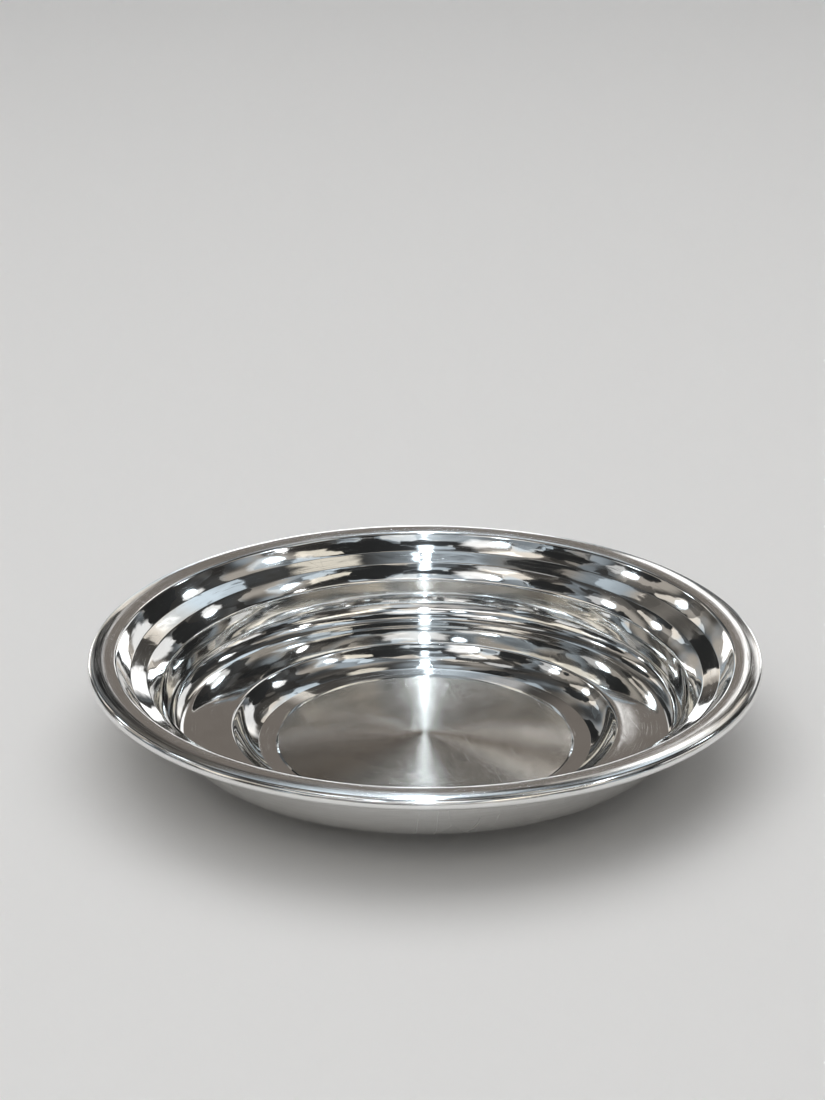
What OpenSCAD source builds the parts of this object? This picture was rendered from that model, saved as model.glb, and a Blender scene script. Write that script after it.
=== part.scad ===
// Thali plate: a deep round dish pressed from one sheet, with its edge curled over a wire.
// Millimetres. +Z is up and the origin is on the table, at the centre of the foot ring.

/* [Overall] */
// Outside diameter over the curled rim
plate_d = 280; // [276:1:300]
// Height from the table to the top of the rim
plate_h = 43.5; // [41:0.5:50]
// Thickness of the pressed sheet
sheet_t = 0.8; // [0.6:0.05:0.85]

/* [Rim] */
// Outside diameter of the curled edge
curl_d = 5; // [4.9:0.1:6]
// How far the sheet is curled over the wire, in degrees
curl_sweep = 275; // [240:5:280]
// Diameter of the stiffening wire
wire_d = 3.2; // [2.4:0.05:3.2]
// Width of the brim, from the outside edge in to the lip
brim_w = 11.4; // [11:0.1:13]
// Slope of the brim where it rises from the lip, in degrees
brim_slope_in = 10; // [8:0.5:10.5]
// Slope of the brim where it falls to the curl, in degrees
brim_slope_out = 10; // [8:0.5:10.5]
// Distance from the lip to the crown of the brim
crown_w = 4.6; // [4.4:0.1:5]

/* [Wall] */
// Width of the sloping upper wall under the lip
upper_wall_w = 6.0; // [5:0.1:7]
// Height of the upper wall
upper_wall_h = 6.4; // [5.5:0.1:7]
// Width of the shelf
shelf_w = 6.8; // [5.5:0.1:8]
// Fall of the shelf towards the bowl
shelf_h = 2.9; // [2.3:0.1:3.5]
// Width of the shoulder between the shelf and the bowl wall
shoulder_w = 5.9; // [5:0.1:7]
// Fall of the shoulder
shoulder_h = 5.8; // [5:0.1:6.5]
// Lean of the bowl wall: how much narrower the bowl is at its foot
wall_lean = 3.0; // [2:0.1:4]
// Outward belly of the bowl wall
wall_belly = 0.8; // [0.3:0.1:1.2]
// Inward swell of the shoulder
shoulder_swell = 0.4; // [0.1:0.1:0.7]
// Outward belly of the upper wall
upper_wall_belly = 0.4; // [0.1:0.1:0.7]

/* [Floor] */
// Width of the ring floor round the well
ring_floor_w = 26.0; // [24:0.5:28]
// Rise of the ring floor towards the wall
ring_floor_rise = 0.4; // [0:0.1:1]
// Sag of the ring floor between the well and the wall
ring_floor_sag = 0.4; // [0.1:0.1:0.6]
// Depth of the well below the ring floor
well_depth = 8.6; // [8:0.1:9.2]
// Width of the riser round the well
riser_w = 10.9; // [10.6:0.1:11.6]
// Width of the riser's steep upper part
riser_steep_w = 4.7; // [4.3:0.1:5]
// Slope of the riser at its foot, in degrees
riser_foot_slope = 22; // [20:1:24]
// Width of the shallow apron between the riser and the foot ring
apron_w = 5.6; // [4.5:0.1:7]
// Rise of the apron towards the riser
apron_h = 1; // [0.6:0.1:1.2]
// Width of the flat foot ring that the plate stands on
foot_ring_w = 1.9; // [1.6:0.1:3]
// Height of the centre disc's edge over the foot ring
disc_rise = 0.4; // [0.2:0.1:0.6]
// Height of the centre disc's crown over its edge
disc_crown = 3; // [0.5:0.1:3.2]

/* [Hidden] */
$fn = 96;

steel = [0.78, 0.78, 0.77];
wire_steel = [0.62, 0.63, 0.64];

// Bend radii of the middle of the sheet, from the centre out
disc_edge_bend = 0.7;
foot_inner_bend = 0.7;
foot_outer_bend = 0.8;
apron_bend = 1;
riser_bend = 20;
riser_top_bend = 1.4;
bowl_bend = 10;
shoulder_bend = 2;
shelf_edge_bend = 2.5;
upper_wall_bend = 2;
lip_bend = 1.8;
brim_bend = 18;
// Turn between neighbouring points of a bend and of the curl, in degrees, and steps along the crown
bend_step = 5;
curl_step = 9;
crown_steps = 12;

// Width of the small step from the disc's edge down to the foot ring
disc_step_w = 0.8;

// Where a belly lies along its line, and the share of the line that it bends to each side
mid_place = 0.5;
mid_share = 0.36;
ring_floor_place = 0.38;
ring_floor_share = 0.29;
wall_place = 0.72;
wall_share = 0.2;

// Heights of the middle of the sheet
half_t = sheet_t / 2;
foot_z = half_t;
disc_edge_z = foot_z + disc_rise;
ring_floor_z = foot_z + well_depth;
wall_foot_z = ring_floor_z + ring_floor_rise;
top_z = plate_h - half_t;

// The brim: its two slopes meet in a corner over its crown, and the bend there touches the full height
curl_r = curl_d / 2;
curl_x = plate_d / 2 - curl_r;
curl_mid_r = curl_r - half_t;
lip_x = plate_d / 2 - brim_w;
brim_x = lip_x + crown_w;
brim_half_turn = (brim_slope_in + brim_slope_out) / 2;
brim_skew = (brim_slope_out - brim_slope_in) / 2;
brim_z = top_z + brim_bend * (cos(brim_skew) / cos(brim_half_turn) - 1);
curl_start_x = curl_x + curl_mid_r * sin(brim_slope_out);
curl_start_z = brim_z - (curl_start_x - brim_x) * tan(brim_slope_out);
curl_z = curl_start_z - curl_mid_r * cos(brim_slope_out);
lip_z = brim_z - crown_w * tan(brim_slope_in);

// The wall, worked down and in from the lip
shelf_top_z = lip_z - upper_wall_h;
shelf_edge_z = shelf_top_z - shelf_h;
shoulder_z = shelf_edge_z - shoulder_h;
shelf_top_x = lip_x - upper_wall_w;
shelf_edge_x = shelf_top_x - shelf_w;
shoulder_x = shelf_edge_x - shoulder_w;
wall_foot_x = shoulder_x - wall_lean;
riser_top_x = wall_foot_x - ring_floor_w;
apron_x = riser_top_x - riser_w;
foot_outer_x = apron_x - apron_w;
foot_inner_x = foot_outer_x - foot_ring_w;
disc_r = foot_inner_x - disc_step_w;
riser_bend_z = foot_z + apron_h + (riser_w - riser_steep_w) * tan(riser_foot_slope);

// Corners of the middle of the sheet as [radius, height, bend radius], from the crown's edge to the curl
crown_end_x = disc_r * (crown_steps - 1) / crown_steps;
disc_edge = [disc_r, disc_edge_z, disc_edge_bend];
riser_top = [riser_top_x, ring_floor_z, riser_top_bend];
wall_foot = [wall_foot_x, wall_foot_z, bowl_bend];
shoulder = [shoulder_x, shoulder_z, shoulder_bend];
shelf_edge = [shelf_edge_x, shelf_edge_z, shelf_edge_bend];
shelf_top = [shelf_top_x, shelf_top_z, upper_wall_bend];
lip = [lip_x, lip_z, lip_bend];
corners = [
    [crown_end_x, crown_z(crown_end_x), 0],
    disc_edge,
    [foot_inner_x, foot_z, foot_inner_bend],
    [foot_outer_x, foot_z, foot_outer_bend],
    [apron_x, foot_z + apron_h, apron_bend],
    [riser_top_x - riser_steep_w, riser_bend_z, riser_bend],
    riser_top,
    belly(riser_top, wall_foot, -ring_floor_sag, ring_floor_place, ring_floor_share),
    wall_foot,
    belly(wall_foot, shoulder, -wall_belly, wall_place, wall_share),
    shoulder,
    belly(shoulder, shelf_edge, shoulder_swell),
    shelf_edge,
    shelf_top,
    belly(shelf_top, lip, -upper_wall_belly),
    lip,
    [brim_x, brim_z, brim_bend],
    [curl_start_x, curl_start_z, 0],
];
last = len(corners) - 1;

function crown_z(r) = disc_edge_z + disc_crown * (1 - pow(r / disc_r, 2));
function spot(i) = [corners[i][0], corners[i][1]];
function heading(i) = (spot(i + 1) - spot(i)) / norm(spot(i + 1) - spot(i));
function left_of(v) = [-v[1], v[0]];
function turned(v, a) = [v[0] * cos(a) - v[1] * sin(a), v[0] * sin(a) + v[1] * cos(a)];

// A corner that turns the line from p to q into a soft curve: the point at share place of the line,
// moved by b to its left, with a bend that reaches share of the line to each side
function belly(p, q, b, place = mid_place, share = mid_share) =
    let (
        along = [q[0] - p[0], q[1] - p[1]],
        point = [p[0], p[1]] + along * place + left_of(along / norm(along)) * b,
        radius = 2 * share * pow(norm(along), 2) * place * (1 - place) / abs(b)
    )
    [point[0], point[1], radius];

// Points of the bend at corner i, moved by off to the left of the path
function bend_points(i, off) =
    let (
        a = heading(i - 1),
        b = heading(i),
        turn = atan2(cross(a, b), a * b),
        r = corners[i][2],
        start = spot(i) - a * r * tan(abs(turn) / 2),
        centre = start + left_of(a) * r * sign(turn),
        steps = ceil(abs(turn) / bend_step)
    )
    [for (j = [0:steps])
        centre + turned(start - centre, turn * j / steps) + turned(left_of(a), turn * j / steps) * off];

// Points of the curled edge, moved by off away from the wire
function curl_points(off) =
    let (steps = ceil(curl_sweep / curl_step))
    [for (j = [0:steps])
        let (a = 90 - brim_slope_out - curl_sweep * j / steps)
        [curl_x, curl_z] + (curl_mid_r + off) * [cos(a), sin(a)]];

// One face of the sheet from the axis to the end of the curl: off is +half_t above and -half_t below
function face_points(off) = concat(
    [for (k = [0:crown_steps - 1])
        let (r = disc_r * k / crown_steps)
        [r, crown_z(r) + off]],
    [for (i = [1:last - 1]) each bend_points(i, off)],
    curl_points(off)
);

function reversed(points) = [for (i = [len(points) - 1:-1:0]) points[i]];

// The dish: the sheet's section turned about the axis
module dish_shell() {
    color(steel)
        rotate_extrude()
            polygon(concat(face_points(half_t), reversed(face_points(-half_t))));
}

// The wire hoop inside the curl
module rim_wire() {
    color(wire_steel)
        translate([0, 0, curl_z])
            rotate_extrude()
                translate([curl_x, 0])
                    circle(d = wire_d);
}

dish_shell();
rim_wire();
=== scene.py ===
"""Thali plate: a deep round dish pressed from one sheet of stainless steel, its edge curled over a wire.

The sizes of the sheet are in millimetres, as a pressing drawing gives them, and everything that is put into
the scene is in metres. +Z is up, and the origin is on the table at the centre of the foot ring.
"""

import logging
import math
from dataclasses import dataclass, field
from enum import Enum

import bpy
import numpy as np
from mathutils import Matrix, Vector


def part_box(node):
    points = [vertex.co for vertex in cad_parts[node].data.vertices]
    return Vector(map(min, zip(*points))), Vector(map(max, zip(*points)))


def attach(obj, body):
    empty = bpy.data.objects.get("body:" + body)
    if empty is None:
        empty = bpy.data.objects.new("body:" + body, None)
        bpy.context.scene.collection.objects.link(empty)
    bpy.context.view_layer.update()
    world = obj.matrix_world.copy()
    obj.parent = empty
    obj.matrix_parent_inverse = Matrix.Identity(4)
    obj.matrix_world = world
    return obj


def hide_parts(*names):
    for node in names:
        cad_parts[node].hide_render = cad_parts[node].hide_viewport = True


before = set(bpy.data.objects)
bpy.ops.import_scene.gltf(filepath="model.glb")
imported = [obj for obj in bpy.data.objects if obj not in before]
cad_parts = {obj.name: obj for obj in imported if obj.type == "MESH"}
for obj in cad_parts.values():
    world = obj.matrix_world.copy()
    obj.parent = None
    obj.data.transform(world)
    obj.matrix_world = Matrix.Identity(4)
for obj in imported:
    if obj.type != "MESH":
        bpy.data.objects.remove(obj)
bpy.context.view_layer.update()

MM = 0.001
ROOT_BODY = "root"
DISH_NODE = "dish_shell"
WIRE_NODE = "rim_wire"
ARC_ATTRIBUTE = "arc_mm"
WAVE_ATTRIBUTE = "waviness"
FADE_ATTRIBUTE = "fade"
GLOW_ATTRIBUTE = "glow"

QUARTER_TURN = 0.25
QUAD_SIDES = 4

log = logging.getLogger("thali_plate")

Colour = tuple[float, float, float]


class Zone(Enum):
    """Parts of the dish's surface that have a finish of their own. The value is the material's place."""

    POLISHED = 0
    CENTRE_DISC = 1
    UNDERSIDE = 2
    BRIM = 3


@dataclass(frozen=True)
class Corner:
    """A corner of the middle of the sheet, in mm.

    Args:
        radius: Distance from the plate's axis.
        height: Height over the table.
        bend: Radius that rounds the corner.
    """

    radius: float
    height: float
    bend: float = 0.0

    @property
    def spot(self) -> np.ndarray:
        """The corner as an array of radius and height."""
        return np.array([self.radius, self.height])

    def inward(self, width: float, drop: float, bend: float) -> "Corner":
        """The next corner, nearer to the axis by the width and lower by the drop."""
        return Corner(self.radius - width, self.height - drop, bend)


def left_of(direction: np.ndarray) -> np.ndarray:
    """Turns directions in the section a quarter to the left, which is up on a path that runs outwards."""
    return np.stack([-direction[..., 1], direction[..., 0]], axis=-1)


def belly(start: Corner, end: Corner, bulge: float, place: float = 0.5, share: float = 0.36) -> Corner:
    """A corner that turns the straight line between two corners into a soft curve.

    The corner lies at `place` of the line, moved sideways by `bulge`, and its bend radius is chosen so that
    the bend reaches `share` of the line to each side: 2 * share * length^2 * place * (1 - place) / bulge.

    Args:
        start: Corner where the line starts.
        end: Corner where the line ends.
        bulge: Sideways move in mm, to the left of the line.
        place: Where on the line the corner lies, from 0 to 1.
        share: Share of the line that is bent to each side.

    Returns:
        The corner, with its bend.
    """
    along = end.spot - start.spot
    length = float(np.hypot(*along))
    point = start.spot + along * place + left_of(along / length) * bulge
    return Corner(point[0], point[1], 2 * share * length**2 * place * (1 - place) / abs(bulge))


@dataclass(frozen=True)
class SheetSizes:
    """Sizes of the pressed sheet in mm, with slopes and the sweep in degrees.

    They are named as in the part's source. The plate's diameter and height come from the frame. A place is
    where a belly lies along its line, and a share is how much of the line it bends to each side.
    """

    plate_d: float
    plate_h: float
    sheet_t: float = 0.8
    curl_d: float = 5.0
    curl_sweep: float = 275.0
    brim_w: float = 11.4
    brim_slope: float = 10.0
    brim_bend: float = 18.0
    crown_w: float = 4.6
    upper_wall_w: float = 6.0
    upper_wall_h: float = 6.4
    upper_wall_belly: float = 0.4
    shelf_w: float = 6.8
    shelf_h: float = 2.9
    shoulder_w: float = 5.9
    shoulder_h: float = 5.8
    shoulder_swell: float = 0.4
    wall_lean: float = 3.0
    wall_belly: float = 0.8
    ring_floor_w: float = 26.0
    ring_floor_rise: float = 0.4
    ring_floor_sag: float = 0.4
    well_depth: float = 8.6
    riser_w: float = 10.9
    riser_steep_w: float = 4.7
    riser_foot_slope: float = 22.0
    apron_w: float = 5.6
    apron_h: float = 1.0
    foot_ring_w: float = 1.9
    disc_step_w: float = 0.8
    disc_rise: float = 0.4
    disc_crown: float = 3.0
    disc_edge_bend: float = 0.7
    foot_inner_bend: float = 0.7
    foot_outer_bend: float = 0.8
    apron_bend: float = 1.0
    riser_bend: float = 20.0
    riser_top_bend: float = 1.4
    bowl_bend: float = 10.0
    shoulder_bend: float = 2.0
    shelf_edge_bend: float = 2.5
    upper_wall_bend: float = 2.0
    lip_bend: float = 1.8
    ring_floor_place: float = 0.38
    ring_floor_share: float = 0.29
    wall_place: float = 0.72
    wall_share: float = 0.2

    @property
    def half_t(self) -> float:
        """Half the thickness of the sheet."""
        return self.sheet_t / 2

    @property
    def riser_top_r(self) -> float:
        """Radius at which the ring floor breaks over into the well."""
        wall = self.brim_w + self.upper_wall_w + self.shelf_w + self.shoulder_w + self.wall_lean
        return self.plate_d / 2 - wall - self.ring_floor_w

    @property
    def disc_r(self) -> float:
        """Radius of the brushed centre disc."""
        return self.riser_top_r - self.riser_w - self.apron_w - self.foot_ring_w - self.disc_step_w

    @property
    def brim_peak(self) -> np.ndarray:
        """The corner in which the brim's two slopes would meet.

        The bend there touches the full height, so the corner lies bend * (1 / cos(slope) - 1) over it.

        Returns:
            Its radius and height.
        """
        over = self.brim_bend * (1 / math.cos(math.radians(self.brim_slope)) - 1)
        return np.array([self.plate_d / 2 - self.brim_w + self.crown_w, self.plate_h - self.half_t + over])

    @property
    def curl_start(self) -> np.ndarray:
        """The point where the brim's outer slope runs into the curl.

        Returns:
            Its radius and height.
        """
        slope = math.radians(self.brim_slope)
        radius = self.plate_d / 2 - self.curl_d / 2 + (self.curl_d / 2 - self.half_t) * math.sin(slope)
        peak = self.brim_peak
        return np.array([radius, peak[1] - (radius - peak[0]) * math.tan(slope)])

    @property
    def curl_centre(self) -> np.ndarray:
        """The middle of the rim roll.

        Returns:
            Its radius and height.
        """
        slope = math.radians(self.brim_slope)
        down = np.array([math.sin(slope), math.cos(slope)]) * (self.curl_d / 2 - self.half_t)
        return self.curl_start - down

    def crown_height(self, radius: np.ndarray) -> np.ndarray:
        """Height of the disc's sheet: a parabola that rises by the crown from the edge to the centre."""
        edge = self.half_t + self.disc_rise
        return edge + self.disc_crown * (1 - (radius / self.disc_r) ** 2)

    def corners(self) -> dict[str, Corner]:
        """The corners of the sheet's middle, worked down from the lip and then in from the wall.

        Returns:
            The corners by name, from the disc's edge to the top of the curl.
        """
        foot = self.half_t
        peak = self.brim_peak
        lip_drop = self.crown_w * math.tan(math.radians(self.brim_slope))
        lip = Corner(self.plate_d / 2 - self.brim_w, peak[1] - lip_drop, self.lip_bend)
        shelf_top = lip.inward(self.upper_wall_w, self.upper_wall_h, self.upper_wall_bend)
        shelf_edge = shelf_top.inward(self.shelf_w, self.shelf_h, self.shelf_edge_bend)
        shoulder = shelf_edge.inward(self.shoulder_w, self.shoulder_h, self.shoulder_bend)
        ring_floor = foot + self.well_depth
        wall_foot_z = ring_floor + self.ring_floor_rise
        wall_foot = Corner(shoulder.radius - self.wall_lean, wall_foot_z, self.bowl_bend)
        riser_top = Corner(self.riser_top_r, ring_floor, self.riser_top_bend)
        apron = Corner(riser_top.radius - self.riser_w, foot + self.apron_h, self.apron_bend)
        riser_rise = (self.riser_w - self.riser_steep_w) * math.tan(math.radians(self.riser_foot_slope))
        riser_bend_r = riser_top.radius - self.riser_steep_w
        foot_outer = Corner(apron.radius - self.apron_w, foot, self.foot_outer_bend)
        sag = (-self.ring_floor_sag, self.ring_floor_place, self.ring_floor_share)
        wall = (-self.wall_belly, self.wall_place, self.wall_share)
        return {
            "disc_edge": Corner(self.disc_r, foot + self.disc_rise, self.disc_edge_bend),
            "foot_inner": Corner(foot_outer.radius - self.foot_ring_w, foot, self.foot_inner_bend),
            "foot_outer": foot_outer,
            "apron": apron,
            "riser_bend": Corner(riser_bend_r, apron.height + riser_rise, self.riser_bend),
            "riser_top": riser_top,
            "ring_floor_sag": belly(riser_top, wall_foot, *sag),
            "wall_foot": wall_foot,
            "wall_belly": belly(wall_foot, shoulder, *wall),
            "shoulder": shoulder,
            "shoulder_swell": belly(shoulder, shelf_edge, self.shoulder_swell),
            "shelf_edge": shelf_edge,
            "shelf_top": shelf_top,
            "upper_wall_belly": belly(shelf_top, lip, -self.upper_wall_belly),
            "lip": lip,
            "brim_crown": Corner(*peak, self.brim_bend),
            "curl_top": Corner(*self.curl_start),
        }


@dataclass
class SheetSection:
    """The middle line of the sheet as rows of points, with the direction out of the inside face at each.

    Args:
        sizes: Sizes of the sheet.
        straight_step: Longest step along a straight stretch, in mm.
        crown_step: Longest step along the centre disc, in mm.
        bend_step: Largest turn between rows of a bend, in degrees.
        curl_step: Largest turn between rows of the curl, in degrees.
        fewest_bend_steps: Fewest steps in a bend, however slight it is.
    """

    sizes: SheetSizes
    straight_step: float = 1.8
    crown_step: float = 3.2
    bend_step: float = 7.5
    curl_step: float = 10.5
    fewest_bend_steps: int = 4
    points: np.ndarray = field(init=False)
    normals: np.ndarray = field(init=False)
    arc: np.ndarray = field(init=False)
    arc_at: dict[str, float] = field(init=False, default_factory=dict)

    def __post_init__(self) -> None:
        """Joins the crown, the straight runs, the bends and the curl, and measures the arc along them."""
        parts = [self._crown()]
        starts: dict[str, int] = {}
        corners = self.sizes.corners()
        names = list(corners)
        line = [corners[name] for name in names]
        rows = len(parts[0][0])
        for before, corner, after, name in zip(
            [Corner(0.0, line[0].height)] + line[:-2], line[:-1], line[1:], names[:-1]
        ):
            run = self._run_and_bend(parts[-1][0][-1], before, corner, after)
            starts[name] = rows + len(run[0]) // 2
            parts.append(run)
            rows += len(run[0])
        starts["curl_top"] = rows
        parts.append(self._curl())
        self.points = np.concatenate([part[0] for part in parts])
        self.normals = np.concatenate([part[1] for part in parts])
        steps = np.hypot(*np.diff(self.points, axis=0).T)
        self.arc = np.concatenate([[0.0], np.cumsum(steps)])
        self.arc_at = {name: float(self.arc[row]) for name, row in starts.items()}
        self.arc_at["curl_end"] = float(self.arc[-1])

    def _crown(self) -> tuple[np.ndarray, np.ndarray]:
        """Points along the disc's parabola. The normal is (2 * crown * r / disc_r^2, 1), made a unit long.

        Returns:
            The points and their normals.
        """
        disc_r = self.sizes.disc_r
        count = math.ceil(disc_r / self.crown_step)
        radius = np.linspace(0.0, disc_r, count + 1)[:-1]
        slope = 2 * self.sizes.disc_crown * radius / disc_r**2
        normal = np.stack([slope, np.ones_like(radius)], axis=1)
        normal /= np.hypot(*normal.T)[:, None]
        return np.stack([radius, self.sizes.crown_height(radius)], axis=1), normal

    def _run_and_bend(
        self, last: np.ndarray, before: Corner, corner: Corner, after: Corner
    ) -> tuple[np.ndarray, np.ndarray]:
        """The straight run from the last point, and then the arc that rounds a corner.

        The arc starts bend * tan(turn / 2) before the corner, and its centre lies at the bend radius to the
        side that the path turns to.

        Args:
            last: Last point made so far.
            before: Corner before this one.
            corner: Corner that is rounded.
            after: Corner after this one.

        Returns:
            The points and their normals.
        """
        ahead = corner.spot - (last if before.radius == 0 else before.spot)
        ahead = ahead / np.hypot(*ahead)
        away = (after.spot - corner.spot) / np.hypot(*(after.spot - corner.spot))
        turn = math.atan2(ahead[0] * away[1] - ahead[1] * away[0], float(ahead @ away))
        start = corner.spot - ahead * corner.bend * math.tan(abs(turn) / 2)
        centre = start + left_of(ahead) * corner.bend * math.copysign(1, turn)
        length = float(np.hypot(*(start - last)))
        steps = max(1, math.ceil(length / self.straight_step))
        share = np.arange(1, steps)[:, None] / steps
        run = last + (start - last) * share
        steps = max(self.fewest_bend_steps, math.ceil(abs(math.degrees(turn)) / self.bend_step))
        angles = np.linspace(0.0, turn, steps + 1)
        turned = np.array([[np.cos(angles), np.sin(angles)], [-np.sin(angles), np.cos(angles)]])
        arc = centre + np.einsum("i,ijk->kj", start - centre, turned)
        arc_normals = np.einsum("i,ijk->kj", left_of(ahead), turned)
        run_normals = np.broadcast_to(left_of(ahead), run.shape)
        return np.concatenate([run, arc]), np.concatenate([run_normals, arc_normals])

    def _curl(self) -> tuple[np.ndarray, np.ndarray]:
        """Points of the curled edge: a circle round the wire, from the brim's slope clockwise.

        Returns:
            The points and their normals.
        """
        steps = math.ceil(self.sizes.curl_sweep / self.curl_step)
        turn = self.sizes.brim_slope + self.sizes.curl_sweep * np.arange(steps + 1) / steps
        angle = np.radians(90 - turn)
        normal = np.stack([np.cos(angle), np.sin(angle)], axis=1)
        radius = self.sizes.curl_d / 2 - self.sizes.half_t
        return self.sizes.curl_centre + radius * normal, normal


@dataclass(frozen=True)
class Ripple:
    """Slight unevenness that pressing and polishing leave in the sheet.

    Args:
        seed: Seed of the draw.
        waves: Number of waves added up.
        around: Least and most waves round the plate.
        across: Shortest wave along the section, in mm.
        height: Height of the unevenness in mm, by the name of a corner of the section.
    """

    seed: int
    waves: int
    around: tuple[int, int]
    across: float
    height: dict[str, float]

    def heights(self, angle: np.ndarray, section: SheetSection) -> np.ndarray:
        """Height of the unevenness on the grid of section rows and columns round the plate, in mm.

        Each wave is cos(n * angle + k * arc + phase) with a whole number n of waves round the plate, and the
        waves' sum has unit spread. The result is that sum times the height at the arc.

        Args:
            angle: Angles of the columns.
            section: Section whose rows are used.

        Returns:
            An array of rows by columns.
        """
        draw = np.random.default_rng(self.seed)
        around = draw.integers(self.around[0], self.around[1] + 1, self.waves)[:, None, None]
        across = draw.uniform(-1.0, 1.0, self.waves)[:, None, None] * 2 * math.pi / self.across
        phase = draw.uniform(0.0, 2 * math.pi, self.waves)[:, None, None]
        waves = np.cos(around * angle[None, None, :] + across * section.arc[None, :, None] + phase)
        spread = waves.sum(axis=0) * math.sqrt(2 / self.waves)
        knots = sorted((section.arc_at[name], height) for name, height in self.height.items())
        return spread * np.interp(section.arc, *zip(*knots))[:, None]


@dataclass
class GridSurface:
    """A surface made of rows of points, each row closed into a ring.

    Args:
        points: Array of rows by columns by 3, in metres.
        rows_closed: Whether the last row joins the first.
        poles: Whether the first and last rows are each a single point.
    """

    points: np.ndarray
    rows_closed: bool = False
    poles: bool = False

    def faces(self) -> np.ndarray:
        """The quads, whose corners run outwards from row to row and then round the plate.

        Returns:
            Point numbers as an array of n by 4.
        """
        rows, columns = self.points.shape[:2]
        number = np.arange(rows * columns).reshape(rows, columns)
        if self.poles:
            number[0, :] = number[0, 0]
            number[-1, :] = number[-1, 0]
        if self.rows_closed:
            number = np.concatenate([number, number[:1]])
        wrapped = np.concatenate([number, number[:, :1]], axis=1)
        corners = (wrapped[:-1, :-1], wrapped[1:, :-1], wrapped[1:, 1:], wrapped[:-1, 1:])
        return np.stack(corners, axis=-1).reshape(-1, QUAD_SIDES)

    def to_object(
        self, name: str, row_values: dict[str, np.ndarray], row_zones: np.ndarray
    ) -> bpy.types.Object:
        """Puts the surface into a mesh, smooth all over, with the poles closed by triangles.

        A quad at a pole has the same point twice, and one of the two is left out.

        Args:
            name: Name of the object.
            row_values: Values for the rows, each list kept as the point attribute of its name.
            row_zones: Place of the material of the faces after each row.

        Returns:
            The object, at the origin.
        """
        columns = self.points.shape[1]
        quads = self.faces()
        face_rows = len(quads) // columns
        zones = np.repeat(row_zones[:face_rows], columns)
        used, renumbered = np.unique(quads, return_inverse=True)
        quads = renumbered.reshape(quads.shape)
        keep = quads != np.roll(quads, -1, axis=1)
        counts = keep.sum(axis=1)
        starts = np.concatenate([[0], np.cumsum(counts)[:-1]])
        loops = quads[keep]
        mesh = bpy.data.meshes.new(name)
        mesh.vertices.add(len(used))
        mesh.vertices.foreach_set("co", self.points.reshape(-1, 3)[used].astype(np.float32).ravel())
        mesh.loops.add(len(loops))
        mesh.loops.foreach_set("vertex_index", loops.astype(np.int32))
        mesh.polygons.add(len(counts))
        mesh.polygons.foreach_set("loop_start", starts.astype(np.int32))
        mesh.polygons.foreach_set("material_index", zones.astype(np.int32))
        mesh.update(calc_edges=True)
        mesh.validate()
        mesh.shade_smooth()
        for label, values in row_values.items():
            attribute = mesh.attributes.new(label, "FLOAT", "POINT")
            attribute.data.foreach_set("value", np.repeat(values, columns)[used].astype(np.float32))
        piece = bpy.data.objects.new(name, mesh)
        bpy.context.scene.collection.objects.link(piece)
        return piece


def turned_surface(radius: np.ndarray, height: np.ndarray, angle: np.ndarray) -> np.ndarray:
    """Turns rows of radius and height round the axis: x = r cos(angle), y = r sin(angle), z = height.

    Args:
        radius: Array of rows by columns, or rows by 1, in mm.
        height: Array of rows by columns, or rows by 1, in mm.
        angle: Angles of the columns.

    Returns:
        Points in metres, as rows by columns by 3.
    """
    shape = (radius.shape[0], len(angle))
    around = np.broadcast_to(radius, shape)
    lifted = np.broadcast_to(height, shape)
    return np.stack([around * np.cos(angle), around * np.sin(angle), lifted], axis=-1) * MM


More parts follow.
